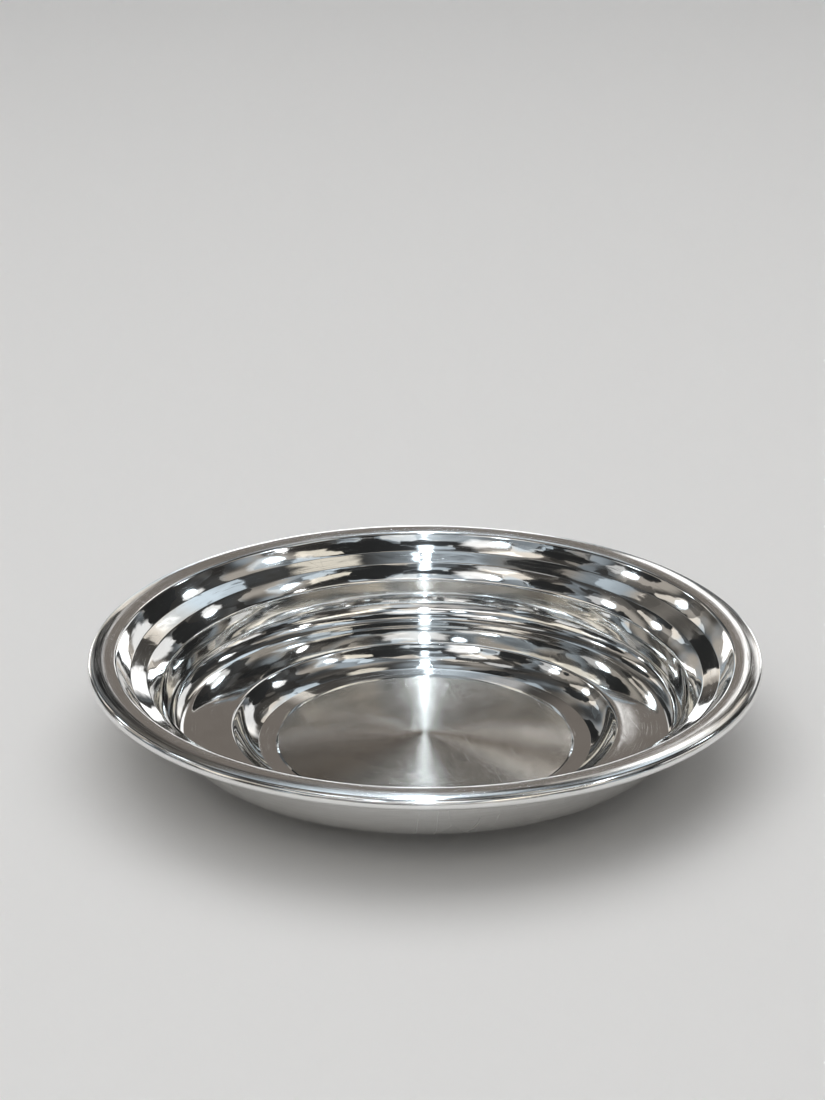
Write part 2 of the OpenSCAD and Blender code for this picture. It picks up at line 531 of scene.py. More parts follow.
class NodeSheet:
    """Lays nodes out in one node tree."""

    def __init__(self, tree: bpy.types.NodeTree) -> None:
        """Starts with an empty tree.

        Args:
            tree: Tree of a material, a world or a group.
        """
        self.tree = tree
        tree.nodes.clear()

    def add(
        self, kind: str, inputs: dict[str | int, object] | None = None, **settings: object
    ) -> bpy.types.Node:
        """Adds a node.

        Args:
            kind: Blender's name of the node's type.
            inputs: Values or sockets for the node's inputs.
            settings: Properties of the node.

        Returns:
            The node.
        """
        node = self.tree.nodes.new(kind)
        for name, value in settings.items():
            setattr(node, name, value)
        for name, value in (inputs or {}).items():
            self.feed(node.inputs[name], value)
        return node

    def feed(self, socket: bpy.types.NodeSocket, value: object) -> None:
        """Links a socket to an input, or sets the input's value.

        Args:
            socket: The input.
            value: A socket or a plain value.
        """
        if isinstance(value, bpy.types.NodeSocket):
            self.tree.links.new(value, socket)
        else:
            socket.default_value = value

    def maths(self, operation: str, *values: object) -> bpy.types.NodeSocket:
        """A Math node's result for the given values or sockets."""
        return self.add("ShaderNodeMath", dict(enumerate(values)), operation=operation).outputs[0]

    def spread(
        self,
        value: object,
        low: object,
        high: object,
        to_low: float = 0.0,
        to_high: float = 1.0,
    ) -> bpy.types.NodeSocket:
        """Maps one stretch of values onto another, with a smooth step, and stops at its ends.

        Args:
            value: The value or socket to map.
            low: Start of the stretch.
            high: End of the stretch.
            to_low: Result at the start.
            to_high: Result at the end.

        Returns:
            The result.
        """
        inputs = {"Value": value, "From Min": low, "From Max": high, "To Min": to_low, "To Max": to_high}
        node = self.add("ShaderNodeMapRange", inputs, interpolation_type="SMOOTHSTEP")
        return node.outputs["Result"]

    def noise(self, place: object, scale: float, detail: float, **inputs: float) -> bpy.types.Node:
        """Adds a Noise Texture node.

        Args:
            place: Where the noise is read.
            scale: Its scale.
            detail: Its detail.
            inputs: Values of its other inputs.

        Returns:
            The node.
        """
        return self.add("ShaderNodeTexNoise", {"Vector": place, "Scale": scale, "Detail": detail, **inputs})

    def mix(self, share: object, start: object, end: object) -> bpy.types.NodeSocket:
        """Mixes two colours.

        Args:
            share: Share of the second colour.
            start: First colour, as a socket or as red, green and blue.
            end: Second colour, likewise.

        Returns:
            The mixed colour.
        """
        node = self.add("ShaderNodeMix", data_type="RGBA")
        self.feed(node.inputs["Factor"], share)
        for name, colour in (("A", start), ("B", end)):
            self.feed(node.inputs[name], (*colour, 1.0) if isinstance(colour, tuple) else colour)
        return node.outputs["Result"]

    def group(self, tree: bpy.types.NodeTree, **values: object) -> dict[str, bpy.types.NodeSocket]:
        """Places a node group.

        Args:
            tree: The group.
            values: Values or sockets for its inputs, with low lines for the spaces in their names.

        Returns:
            Its outputs by name.
        """
        node = self.add("ShaderNodeGroup", node_tree=tree)
        for name, value in values.items():
            self.feed(node.inputs[name.replace("_", " ")], value)
        return {output.name: output for output in node.outputs}


# Turn in radians and shift of each direction of the hairlines, and how fine they are along each axis
HAIRLINE_TURNS = ((0.35, 0.11), (1.30, 0.57), (2.45, 0.83))
HAIRLINE_STRETCH = (26.0, 1900.0, 60.0)
HAIRLINE_GAIN = 9.0


@dataclass
class SteelEffects:
    """The node groups that the steel finishes share, each built once."""

    place: bpy.types.NodeTree = field(init=False)
    spun_lines: bpy.types.NodeTree = field(init=False)
    hairlines: bpy.types.NodeTree = field(init=False)
    wiped_film: bpy.types.NodeTree = field(init=False)
    polish_waves: bpy.types.NodeTree = field(init=False)

    def __post_init__(self) -> None:
        """Builds the groups."""
        self.place = self._place()
        self.spun_lines = self._spun_lines()
        self.hairlines = self._hairlines()
        self.wiped_film = self._wiped_film()
        self.polish_waves = self._polish_waves()

    @staticmethod
    def _start(name: str, inputs: dict[str, float], output: str, kind: str = "NodeSocketFloat") -> NodeSheet:
        """Makes a group with number inputs and one output, and nothing in between yet.

        Args:
            name: Name of the group.
            inputs: Values of its inputs by name.
            output: Name of its output.
            kind: Blender's name of the output's type.

        Returns:
            The sheet to lay its nodes out on.
        """
        tree = bpy.data.node_groups.new(name, "ShaderNodeTree")
        for label, value in inputs.items():
            socket = tree.interface.new_socket(label, in_out="INPUT", socket_type="NodeSocketFloat")
            socket.default_value = value
        tree.interface.new_socket(output, in_out="OUTPUT", socket_type=kind)
        return NodeSheet(tree)

    def _place(self) -> bpy.types.NodeTree:
        """Place on a turned surface as (cos, sin, arc): it has no seam, and each axis has its own scale.

        Returns:
            The group.
        """
        sheet = self._start("turned_place", {"Around": 1.0, "Across": 1.0}, "Place", "NodeSocketVector")
        given = sheet.add("NodeGroupInput").outputs
        where = sheet.add("ShaderNodeTexCoord").outputs["Object"]
        axes = sheet.add("ShaderNodeSeparateXYZ", {0: where}).outputs
        flat = sheet.add("ShaderNodeCombineXYZ", {"X": axes["X"], "Y": axes["Y"]}).outputs[0]
        unit = sheet.add("ShaderNodeVectorMath", {0: flat}, operation="NORMALIZE").outputs[0]
        round_place = sheet.add("ShaderNodeVectorMath", {0: unit}, operation="SCALE")
        sheet.feed(round_place.inputs["Scale"], given["Around"])
        arc = sheet.add("ShaderNodeAttribute", attribute_name=ARC_ATTRIBUTE).outputs["Fac"]
        parts = sheet.add("ShaderNodeSeparateXYZ", {0: round_place.outputs[0]}).outputs
        across = sheet.maths("MULTIPLY", arc, given["Across"])
        result = sheet.add("ShaderNodeCombineXYZ", {"X": parts["X"], "Y": parts["Y"], "Z": across})
        sheet.add("NodeGroupOutput", {"Place": result.outputs[0]})
        return sheet.tree

    def _spun_lines(self) -> bpy.types.NodeTree:
        """Fine lines that a mop or brush leaves on a turning sheet: noise drawn out round the axis.

        Returns:
            The group.
        """
        inputs = {"Around": 4.0, "Across": 5.0, "Low": 0.35, "High": 0.65}
        sheet = self._start("spun_lines", inputs, "Lines")
        given = sheet.add("NodeGroupInput").outputs
        place = sheet.group(self.place, Around=given["Around"], Across=given["Across"])["Place"]
        grain = sheet.noise(place, 1.0, 3.0, Roughness=0.6).outputs["Fac"]
        sheet.add("NodeGroupOutput", {"Lines": sheet.spread(grain, given["Low"], given["High"])})
        return sheet.tree

    def _hairlines(self) -> bpy.types.NodeTree:
        """Hairline scratches from use: noise drawn out along three directions, of which only the peaks show.

        Returns:
            The group.
        """
        sheet = self._start("use_hairlines", {"Fineness": 1.0, "Cut": 0.72}, "Marks")
        given = sheet.add("NodeGroupInput").outputs
        where = sheet.add("ShaderNodeTexCoord").outputs["Object"]
        patches = sheet.noise(where, 22.0, 1.0).outputs["Fac"]
        marks: object = 0.0
        for turn, shift in HAIRLINE_TURNS:
            settings = {"Vector": where, "Rotation": (0.0, 0.0, turn), "Location": (shift, shift, shift)}
            aligned = sheet.add("ShaderNodeMapping", settings).outputs[0]
            stretch = {0: aligned, 1: HAIRLINE_STRETCH}
            drawn = sheet.add("ShaderNodeVectorMath", stretch, operation="MULTIPLY")
            strokes = sheet.noise(drawn.outputs[0], given["Fineness"], 0.0).outputs["Fac"]
            peak = sheet.maths("SUBTRACT", strokes, given["Cut"])
            marks = sheet.maths("MAXIMUM", marks, sheet.maths("MULTIPLY", peak, HAIRLINE_GAIN))
        shown = sheet.maths("MULTIPLY", marks, sheet.spread(patches, 0.42, 0.62, 0.25, 1.0))
        sheet.add("NodeGroupOutput", {"Marks": sheet.maths("MINIMUM", shown, 1.0)})
        return sheet.tree

    def _wiped_film(self) -> bpy.types.NodeTree:
        """Soft cloudy film that a wiping cloth leaves: slow noise stretched a little round the plate.

        Returns:
            The group.
        """
        sheet = self._start("wiped_film", {"Around": 2.2, "Across": 0.06}, "Film")
        given = sheet.add("NodeGroupInput").outputs
        place = sheet.group(self.place, Around=given["Around"], Across=given["Across"])["Place"]
        cloud = sheet.noise(place, 1.6, 4.0, Distortion=0.4).outputs["Fac"]
        sheet.add("NodeGroupOutput", {"Film": sheet.spread(cloud, 0.38, 0.68)})
        return sheet.tree

    def _polish_waves(self) -> bpy.types.NodeTree:
        """Soft waves that the polishing mop leaves, drawn out round the plate: they bend the mirror images.

        Returns:
            The group.
        """
        sheet = self._start("polish_waves", {"Around": 7.0, "Across": 0.16}, "Height")
        given = sheet.add("NodeGroupInput").outputs
        place = sheet.group(self.place, Around=given["Around"], Across=given["Across"])["Place"]
        soft = sheet.noise(place, 1.0, 1.0, Distortion=0.8).outputs["Fac"]
        share = sheet.add("ShaderNodeAttribute", attribute_name=WAVE_ATTRIBUTE).outputs["Fac"]
        sheet.add("NodeGroupOutput", {"Height": sheet.maths("MULTIPLY", soft, share)})
        return sheet.tree


@dataclass(frozen=True)
class SteelFinish:
    """A finish of stainless steel.

    Args:
        name: Name of the material.
        light: Colour of the clean steel. On the brim it is painted paler than the inside's, a painted
            highlight, and on the centre disc darker and warmer, a painted shade.
        worn: Colour under film and in the lines, likewise painted paler on the brim and darker on the centre
            disc.
        rough: Roughness of the clean surface.
        line_rough: Roughness that the spun lines add.
        film_rough: Roughness that the wiped film adds.
        mark_rough: Roughness that hairline scratches add.
        anisotropy: How far the lines stretch a highlight, the same all over.
        line_cut: Noise values between which a spun line starts to show. Higher values leave fewer lines.
        line_pitch: Spun lines for each mm.
        line_reach: How short the lines are round the plate: larger is shorter.
        wave_depth: Height of the polish's waves in mm, where they are strongest.
        line_depth: Depth of the lines in mm.
        mark_depth: Depth of the hairlines in mm.
    """

    name: str
    light: Colour
    worn: Colour
    rough: float
    line_rough: float
    film_rough: float
    mark_rough: float
    anisotropy: float
    line_cut: tuple[float, float]
    line_pitch: float
    line_reach: float
    wave_depth: float
    line_depth: float
    mark_depth: float

    def material(self, effects: SteelEffects) -> bpy.types.Material:
        """Builds the material.

        The colour runs from light to worn with the film and the lines. The roughness is the sum of the clean
        surface's and what lines, film and hairlines add. Lines, hairlines and waves also make the bump. The
        tangent runs round the axis, and a highlight is stretched across the lines, a quarter turn from it.

        Args:
            effects: Shared node groups.

        Returns:
            The material.
        """
        material = bpy.data.materials.new(self.name)
        material.use_nodes = True
        sheet = NodeSheet(material.node_tree)
        low, high = self.line_cut
        values = {"Around": self.line_reach, "Across": self.line_pitch, "Low": low, "High": high}
        lines = sheet.group(effects.spun_lines, **values)["Lines"]
        film = sheet.group(effects.wiped_film)["Film"]
        marks = sheet.group(effects.hairlines)["Marks"]
        film_share = sheet.maths("MULTIPLY", film, 0.6)
        worn_share = sheet.maths("ADD", film_share, sheet.maths("MULTIPLY", lines, 0.4))
        tint = sheet.mix(worn_share, self.light, self.worn)
        rough = sheet.maths("MULTIPLY_ADD", lines, self.line_rough, self.rough)
        rough = sheet.maths("MULTIPLY_ADD", film, self.film_rough, rough)
        rough = sheet.maths("MULTIPLY_ADD", marks, self.mark_rough, rough)
        depth = sheet.maths("MULTIPLY", lines, self.line_depth)
        depth = sheet.maths("MULTIPLY_ADD", marks, -self.mark_depth, depth)
        waves = sheet.group(effects.polish_waves)["Height"]
        depth = sheet.maths("MULTIPLY_ADD", waves, self.wave_depth, depth)
        bump = sheet.add("ShaderNodeBump", {"Height": depth, "Strength": 1.0, "Distance": MM})
        steel = sheet.add("ShaderNodeBsdfPrincipled")
        steel.inputs["Metallic"].default_value = 1.0
        steel.inputs["Anisotropic"].default_value = self.anisotropy
        steel.inputs["Anisotropic Rotation"].default_value = QUARTER_TURN
        sheet.feed(steel.inputs["Base Color"], tint)
        sheet.feed(steel.inputs["Roughness"], rough)
        sheet.feed(steel.inputs["Normal"], bump.outputs["Normal"])
        tangent = sheet.add("ShaderNodeTangent", direction_type="RADIAL", axis="Z")
        sheet.feed(steel.inputs["Tangent"], tangent.outputs[0])
        sheet.add("ShaderNodeOutputMaterial", {"Surface": steel.outputs[0]})
        return material


MIRROR_POLISH = SteelFinish(
    name="polished_inside",
    light=(0.80, 0.80, 0.79),
    worn=(0.74, 0.735, 0.72),
    rough=0.03,
    line_rough=0.15,
    film_rough=0.012,
    mark_rough=0.05,
    anisotropy=0.95,
    line_cut=(0.58, 0.72),
    line_pitch=3.2,
    line_reach=5.0,
    wave_depth=0.07,
    line_depth=0.0006,
    mark_depth=0.0015,
)
# Painted shade: the disc's light and worn colours are darker and warmer than the polished steel's, a painted
# shade, warm in tone, over its real brushed roughness.
BRUSHED_DISC_PAINTED_SHADE = SteelFinish(
    name="brushed_centre_painted_shade",
    light=(0.62, 0.59, 0.545),
    worn=(0.50, 0.47, 0.43),
    rough=0.20,
    line_rough=0.05,
    film_rough=0.02,
    mark_rough=0.02,
    anisotropy=1.0,
    line_cut=(0.40, 0.60),
    line_pitch=5.5,
    line_reach=1.5,
    wave_depth=0.0,
    line_depth=0.006,
    mark_depth=0.0006,
)
# Painted highlight: the brim's light and worn colours are paler than the polished inside's, a painted
# brightness on the same steel, over its real polish.
POLISHED_BRIM_PAINTED_HIGHLIGHT = SteelFinish(
    name="polished_brim_painted_highlight",
    light=(0.88, 0.88, 0.87),
    worn=(0.82, 0.815, 0.80),
    rough=0.05,
    line_rough=0.18,
    film_rough=0.02,
    mark_rough=0.06,
    anisotropy=0.8,
    line_cut=(0.45, 0.62),
    line_pitch=3.6,
    line_reach=5.0,
    wave_depth=0.06,
    line_depth=0.0012,
    mark_depth=0.002,
)
BUFFED_UNDERSIDE = SteelFinish(
    name="buffed_underside",
    light=(0.76, 0.755, 0.74),
    worn=(0.66, 0.65, 0.63),
    rough=0.12,
    line_rough=0.08,
    film_rough=0.04,
    mark_rough=0.16,
    anisotropy=0.55,
    line_cut=(0.40, 0.62),
    line_pitch=2.6,
    line_reach=6.0,
    wave_depth=0.05,
    line_depth=0.0020,
    mark_depth=0.004,
)
DRAWN_WIRE = SteelFinish(
    name="drawn_wire",
    light=(0.62, 0.63, 0.64),
    worn=(0.50, 0.50, 0.50),
    rough=0.26,
    line_rough=0.12,
    film_rough=0.08,
    mark_rough=0.15,
    anisotropy=0.4,
    line_cut=(0.40, 0.62),
    line_pitch=4.0,
    line_reach=9.0,
    wave_depth=0.0,
    line_depth=0.004,
    mark_depth=0.004,
)


@dataclass
class Dish:
    """The pressed dish: one sheet from the brushed centre disc to the end of the curl.

    Args:
        sizes: Sizes of the sheet.
        columns: Number of columns round the plate.
        sharp_angle: Turn in degrees from which an edge is shown sharp, as at the end of the curl.
        ripples: Slight unevenness of the sheet, from slow to quick.
        waviness: Share of the polish's waves, by the name of a corner of the section.
    """

    sizes: SheetSizes
    columns: int = 300
    sharp_angle: float = 50.0
    ripples: tuple[Ripple, ...] = (
        Ripple(
            seed=7,
            waves=16,
            around=(2, 14),
            across=60.0,
            height={
                "foot_outer": 0.0,
                "riser_top": 0.006,
                "wall_foot": 0.012,
                "shoulder": 0.016,
                "lip": 0.012,
                "curl_top": 0.0,
            },
        ),
        Ripple(
            seed=21,
            waves=30,
            around=(14, 46),
            across=16.0,
            height={
                "riser_top": 0.0,
                "ring_floor_sag": 0.0006,
                "wall_foot": 0.0015,
                "wall_belly": 0.003,
                "shoulder": 0.003,
                "shelf_edge": 0.003,
                "shelf_top": 0.005,
                "upper_wall_belly": 0.008,
                "lip": 0.001,
                "curl_top": 0.0,
            },
        ),
    )
    waviness: dict[str, float] = field(
        default_factory=lambda: {
            "disc_edge": 0.0,
            "apron": 0.1,
            "riser_top": 0.3,
            "ring_floor_sag": 0.1,
            "wall_foot": 0.4,
            "wall_belly": 0.5,
            "shelf_edge": 0.6,
            "upper_wall_belly": 1.0,
            "lip": 0.4,
            "curl_top": 0.1,
        }
    )

    def build(self) -> bpy.types.Object:
        """Builds the dish as one closed surface: the inside face from the centre out, then the outside back.

        The points are the middle of the sheet moved by half the thickness, and by the ripple, along the
        section's normal. Both faces get the same ripple, so the sheet keeps its thickness.

        Returns:
            The piece.
        """
        section = SheetSection(self.sizes)
        angle = np.linspace(0.0, 2 * math.pi, self.columns, endpoint=False)
        ripple = sum(part.heights(angle, section) for part in self.ripples)
        faces = []
        for offset in (self.sizes.half_t, -self.sizes.half_t):
            moved = ripple + offset
            radius = section.points[:, :1] + section.normals[:, :1] * moved
            height = section.points[:, 1:] + section.normals[:, 1:] * moved
            faces.append(turned_surface(radius, height, angle))
        inside, outside = faces
        inside[0, :, :] = inside[0].mean(axis=0)
        outside[0, :, :] = outside[0].mean(axis=0)
        points = np.concatenate([inside, outside[::-1]])
        arcs = np.concatenate([section.arc, section.arc[::-1]])
        knots = sorted((section.arc_at[name], share) for name, share in self.waviness.items())
        waves = np.interp(arcs, *zip(*knots))
        values = {ARC_ATTRIBUTE: arcs, WAVE_ATTRIBUTE: waves}
        piece = GridSurface(points, poles=True).to_object("dish", values, self._zones(section))
        piece.data.set_sharp_from_angle(angle=math.radians(self.sharp_angle))
        return piece

    @staticmethod
    def _zones(section: SheetSection) -> np.ndarray:
        """Zones of the rows: those of the inside face from the centre out, then the outside's back again.

        Args:
            section: Section whose rows are used.

        Returns:
            The zones' places.
        """
        inside = np.full(len(section.arc), Zone.POLISHED.value)
        inside[section.arc < section.arc_at["disc_edge"]] = Zone.CENTRE_DISC.value
        inside[section.arc > section.arc_at["lip"]] = Zone.BRIM.value
        under = section.arc[::-1] < section.arc_at["brim_crown"]
        outside = np.where(under, Zone.UNDERSIDE.value, Zone.POLISHED.value)
        return np.concatenate([inside, outside])

    def dress(self, piece: bpy.types.Object, effects: SteelEffects) -> None:
        """Gives each zone its finish, in the order of the zones' places.

        Args:
            piece: The dish.
            effects: Shared node groups.
        """
        finishes = {
            Zone.POLISHED: MIRROR_POLISH,
            Zone.CENTRE_DISC: BRUSHED_DISC_PAINTED_SHADE,
            Zone.UNDERSIDE: BUFFED_UNDERSIDE,
            Zone.BRIM: POLISHED_BRIM_PAINTED_HIGHLIGHT,
        }
        for zone in sorted(Zone, key=lambda member: member.value):
            piece.data.materials.append(finishes[zone].material(effects))


@dataclass
class RimWire:
    """The hoop of wire inside the curl.

    Args:
        sizes: Sizes of the sheet, which give the middle of the curl.
        wire_d: Diameter of the wire in mm.
        columns: Number of columns round the plate.
        sides: Number of points round the wire.
    """

    sizes: SheetSizes
    wire_d: float = 3.2
    columns: int = 180
    sides: int = 20

    def build(self) -> bpy.types.Object:
        """Builds the hoop: a circle of the wire's radius round the curl's middle, turned about the axis.

        Returns:
            The piece.
        """
        angle = np.linspace(0.0, 2 * math.pi, self.columns, endpoint=False)
        turn = -2 * math.pi * np.arange(self.sides) / self.sides
        centre = self.sizes.curl_centre
        radius = centre[0] + self.wire_d / 2 * np.cos(turn)
        height = centre[1] + self.wire_d / 2 * np.sin(turn)
        points = turned_surface(radius[:, None], height[:, None], angle)
        arcs = -turn * self.wire_d / 2
        surface = GridSurface(points, rows_closed=True)
        return surface.to_object("rim_hoop", {ARC_ATTRIBUTE: arcs}, np.zeros(self.sides, int))

    def dress(self, piece: bpy.types.Object, effects: SteelEffects) -> None:
        """Gives the hoop the finish of drawn wire."""
        piece.data.materials.append(DRAWN_WIRE.material(effects))


@dataclass(frozen=True)
class Panel:
    """A flat panel round the plate, which faces it.

    Args:
        name: Name of the panel.
        azimuth: Compass place round the plate in degrees: 0 is behind it and 90 to its right.
        elevation: Height over the horizon in degrees.
        wide: Width as seen from the plate, in degrees.
        tall: Height as seen from the plate, in degrees.
        roll: Turn of the panel in its own plane, in degrees.
        distance: Distance from the plate in metres.
    """

    name: str
    azimuth: float
    elevation: float
    wide: float
    tall: float
    roll: float = field(default=0.0, kw_only=True)
    distance: float = field(default=3.4, kw_only=True)

    def size(self) -> tuple[float, float]:
        """Size of the panel in the scene: 2 * distance * tan(angle / 2) along each side.

        Returns:
            Width and height in metres.
        """
        halves = (math.radians(angle) / 2 for angle in (self.wide, self.tall))
        wide, tall = (2 * self.distance * math.tan(half) for half in halves)
        return wide, tall

    def put(self, piece: bpy.types.Object) -> None:
        """Moves a lamp or card to its place, aims its -Z side at the plate and links it to the scene.

        Args:
            piece: The lamp or card.
        """
        azimuth, elevation = math.radians(self.azimuth), math.radians(self.elevation)
        level = math.cos(elevation)
        outward = Vector((math.sin(azimuth) * level, math.cos(azimuth) * level, math.sin(elevation)))
        piece.location = outward * self.distance
        piece.rotation_euler = outward.to_track_quat("Z", "Y").to_euler()
        piece.rotation_euler.rotate_axis("Z", math.radians(self.roll))
        bpy.context.scene.collection.objects.link(piece)


@dataclass(frozen=True)
class Lamp(Panel):
    """A soft lamp that lights the matt surfaces. Reflections don't show it.

    Args:
        brightness: Brightness of the panel.
    """

    brightness: float

    def build(self) -> bpy.types.Object:
        """Makes the area lamp. Its power is brightness * pi * area.

        Returns:
            The lamp's object.
        """
        data = bpy.data.lights.new(self.name, "AREA")
        data.shape = "RECTANGLE"
        data.size, data.size_y = self.size()
        data.energy = self.brightness * math.pi * data.size * data.size_y
        lamp = bpy.data.objects.new(self.name, data)
        lamp.visible_camera = False
        lamp.visible_glossy = False
        self.put(lamp)
        return lamp


# Height, count and shift of each wave on a card's outline
OUTLINE_WAVES = ((0.16, 3, 1), (0.11, 7, 2), (0.05, 15, 0))


@dataclass(frozen=True)
class Card(Panel):
    """A card with an uneven outline. It shows in reflections only, and puts no light on matt surfaces.

    Args:
        soft: Share of the way from the outline to the middle over which the card fades in.
        points: Number of points of its outline.
    """

    soft: float = field(default=0.25, kw_only=True)
    points: int = field(default=60, kw_only=True)

    def build(self, material: bpy.types.Material) -> bpy.types.Object:
        """Makes the card as a fan of triangles round its middle point.

        The outline is a rounded square whose reach is 1 plus three small waves, and the softer the card is,
        the nearer it comes to a plain ellipse. A wave is height * sin(count * turn + shift * azimuth). The
        fade runs from 0 at the outline to 1 / soft in the middle.

        Args:
            material: Material of the card.

        Returns:
            The card's object.
        """
        turn = 2 * math.pi * np.arange(self.points) / self.points
        start = math.radians(self.azimuth)
        waves = sum(
            height * np.sin(count * turn + shift * start) for height, count, shift in OUTLINE_WAVES
        )
        reach = 1 + (1 - self.soft) * waves
        squareness = 0.6 + 0.4 * self.soft
        x, y = (np.sign(side) * np.abs(side) ** squareness * reach for side in (np.cos(turn), np.sin(turn)))
        wide, tall = self.size()
        ring = np.stack([x * wide / 2, y * tall / 2, np.zeros(self.points)], axis=-1)
        middle = self.points
        faces = [(middle, (i + 1) % middle, i) for i in range(middle)]
        mesh = bpy.data.meshes.new(self.name)
        mesh.from_pydata([*ring.tolist(), (0.0, 0.0, 0.0)], [], faces)
        fade = mesh.attributes.new(FADE_ATTRIBUTE, "FLOAT", "POINT")
        fade.data.foreach_set("value", [*[0.0] * middle, 1 / self.soft])
        mesh.materials.append(material)
        card = bpy.data.objects.new(self.name, mesh)
        card.visible_camera = False
        card.visible_diffuse = False
        card.visible_shadow = False
        self.put(card)
        return card


@dataclass(frozen=True)
class Glow(Card):
    """A card that glows and fades out towards its outline.

    Args:
        brightness: Brightness of its middle.
        tint: Colour of the light.
    """

    brightness: float
    tint: Colour = (1.0, 1.0, 1.0)

    def build(self, material: bpy.types.Material) -> bpy.types.Object:
        """Makes the card and stores its light in the mesh.

        Args:
            material: Material that reads the light.

        Returns:
            The card's object.
        """
        card = super().build(material)
        light = [channel * self.brightness for channel in self.tint]
        stored = card.data.attributes.new(GLOW_ATTRIBUTE, "FLOAT_COLOR", "POINT")
        stored.data.foreach_set("color", [*light, 1.0] * len(card.data.vertices))
        return card


COOL: Colour = (0.78, 0.90, 1.0)
WARM: Colour = (1.0, 0.93, 0.80)

# The numbers are azimuth, elevation, width and height in degrees, and then brightness
LAMPS = (
    Lamp("overhead", 0, 80, 62, 62, 1.2, distance=2.0),
    Lamp("front_soft", 205, 50, 44, 34, 1.0, distance=2.0),
)
GLOWS = (
    Glow("key_strip", 180, 43, 5, 36, 16.0, COOL, soft=0.9),
    Glow("streak_lamp", 0, 76, 1.9, 17, 190.0, COOL, soft=0.9),
    Glow("streak_ceiling", 180, 74, 4.5, 36, 3.0, COOL, soft=0.8),
    Glow("streak_halo_front", 178, 58, 18, 50, 0.35, COOL, soft=0.9),
    Glow("streak_halo_back", 3, 72, 12, 20, 0.3, COOL, soft=0.9),
    Glow("back_cool", -10, 68, 7, 6, 0.4, COOL, soft=0.5),
    Glow("back_warm", 22, 63, 7, 9, 0.8, WARM, soft=0.4),
    Glow("front_spot", -161, 47, 7, 7, 10.0, COOL, soft=0.9),
    Glow("horizon_left", -30, 5, 17, 10, 2.2, distance=4.0),
    Glow("horizon_middle", -2, 5, 19, 9, 2.0, distance=4.0),
    Glow("horizon_right", 27, 6, 18, 10, 2.2, distance=4.0),
    Glow("back_wide", -3, 49, 17, 13, 0.6, COOL, soft=0.4),
    Glow("back_low", -1, 40, 9, 6, 0.45, soft=0.4),
    Glow("side_patch", 9.5, 19, 6, 22, 1.3, soft=0.35),
    Glow("wall_patch", 29, 20, 26, 13, 0.9, soft=0.3),
    Glow("side_patch_dim", -10, 23, 3, 10, 0.5, soft=0.4),
    Glow("streak_line", 0, 57, 1.2, 30, 22.0, COOL, soft=0.9),
    Glow("streak_side", 2.6, 60, 1.2, 24, 3.0, COOL, soft=0.6),
    Glow("disc_sector", 15, 36, 9, 9, 1.6, soft=0.6),
    Glow("back_right_high", -145, 64, 14, 14, 1.1, soft=0.5),
    Glow("back_right_core", -136, 61, 7, 8, 16.0, COOL, soft=0.9),
    Glow("left_high", -112, 72, 9, 12, 0.6),
    Glow("left_high_side", -68, 68, 8, 10, 0.6),
    Glow("left_mid", -80, 44, 12, 8, 0.6),
    Glow("left_core", -76, 42, 7, 7, 12.0, COOL, soft=0.9),
    Glow("left_warm_low", -104, 28, 26, 14, 0.9, WARM),
    Glow("left_floor", -112, 12, 14, 10, 0.8),
    Glow("left_low_white", -90, 22, 6, 5, 1.0),
    Glow("left_low_spot", -66, 10, 6, 6, 8.0, soft=0.8),
    Glow("left_back_core", -51, 30, 7, 7, 10.0, COOL, soft=0.9),
    Glow("front_left", -162, 37, 36, 9, 1.3, roll=4),
    Glow("front_left_wide", -128, 35, 30, 11, 0.8, WARM, distance=3.5, roll=-6),
    Glow("front_fill", 180, 20, 70, 16, 0.35),
    Glow("front_high", 175, 52, 26, 12, 1.0, distance=3.5),
    Glow("front_top", 180, 61, 46, 13, 0.45, COOL, soft=0.6),
    Glow("right_mid", 57, 39, 9, 9, 1.0, roll=15),
    Glow("right_core", 59, 37, 7, 7, 12.0, COOL, soft=0.9),
    Glow("right_cool", 92, 53, 16, 12, 0.6, COOL, roll=10, soft=0.5),
    Glow("right_cool_core", 96, 54, 7, 8, 12.0, COOL, soft=0.9),
    Glow("right_cool_high", 97, 65, 8, 10, 0.7, COOL),
    Glow("right_warm", 113, 63, 7, 18, 0.9, WARM, roll=25),
    Glow("floor_core", 110, 47, 5, 7, 14.0, soft=0.9),
    Glow("front_right", 138, 35, 42, 10, 1.0, WARM, roll=5),
    Glow("front_right_low", 155, 24, 20, 14, 0.45, WARM, distance=3.5),
    Glow("right_low", 90, 21, 18, 9, 0.9, roll=-8),
    Glow("right_floor", 70, 7, 34, 12, 0.55, distance=3.5),
    Glow("right_low_warm", 84, 15, 10, 8, 0.8, WARM),
    Glow("right_side", 121, 26, 12, 8, 0.7, WARM, distance=3.5),
)
DARK_CARDS = (
    Card("dark_beside", -15, 24, 9, 14),
    Card("dark_front_right", 135, 68, 24, 22),
    Card("dark_right_low", 50, 25, 18, 16, roll=10),
    Card("dark_right", 90, 35, 16, 8),
    Card("dark_right_side", 108, 18, 12, 9),
    Card("dark_right_far", 104, 27, 11, 10),
    Card("dark_back_left", -55, 11, 16, 11),
    Card("dark_back_left_high", -42, 38, 12, 14, roll=-10),
    Card("dark_left_low", -93, 12, 12, 9),
    Card("dark_behind_left", -24, 61, 9, 6),
    Card("dark_left", -78, 32, 14, 14),
    Card("dark_left_high", -104, 54, 16, 12, roll=12),
    Card("dark_front_left", -178, 68, 14, 8),
)


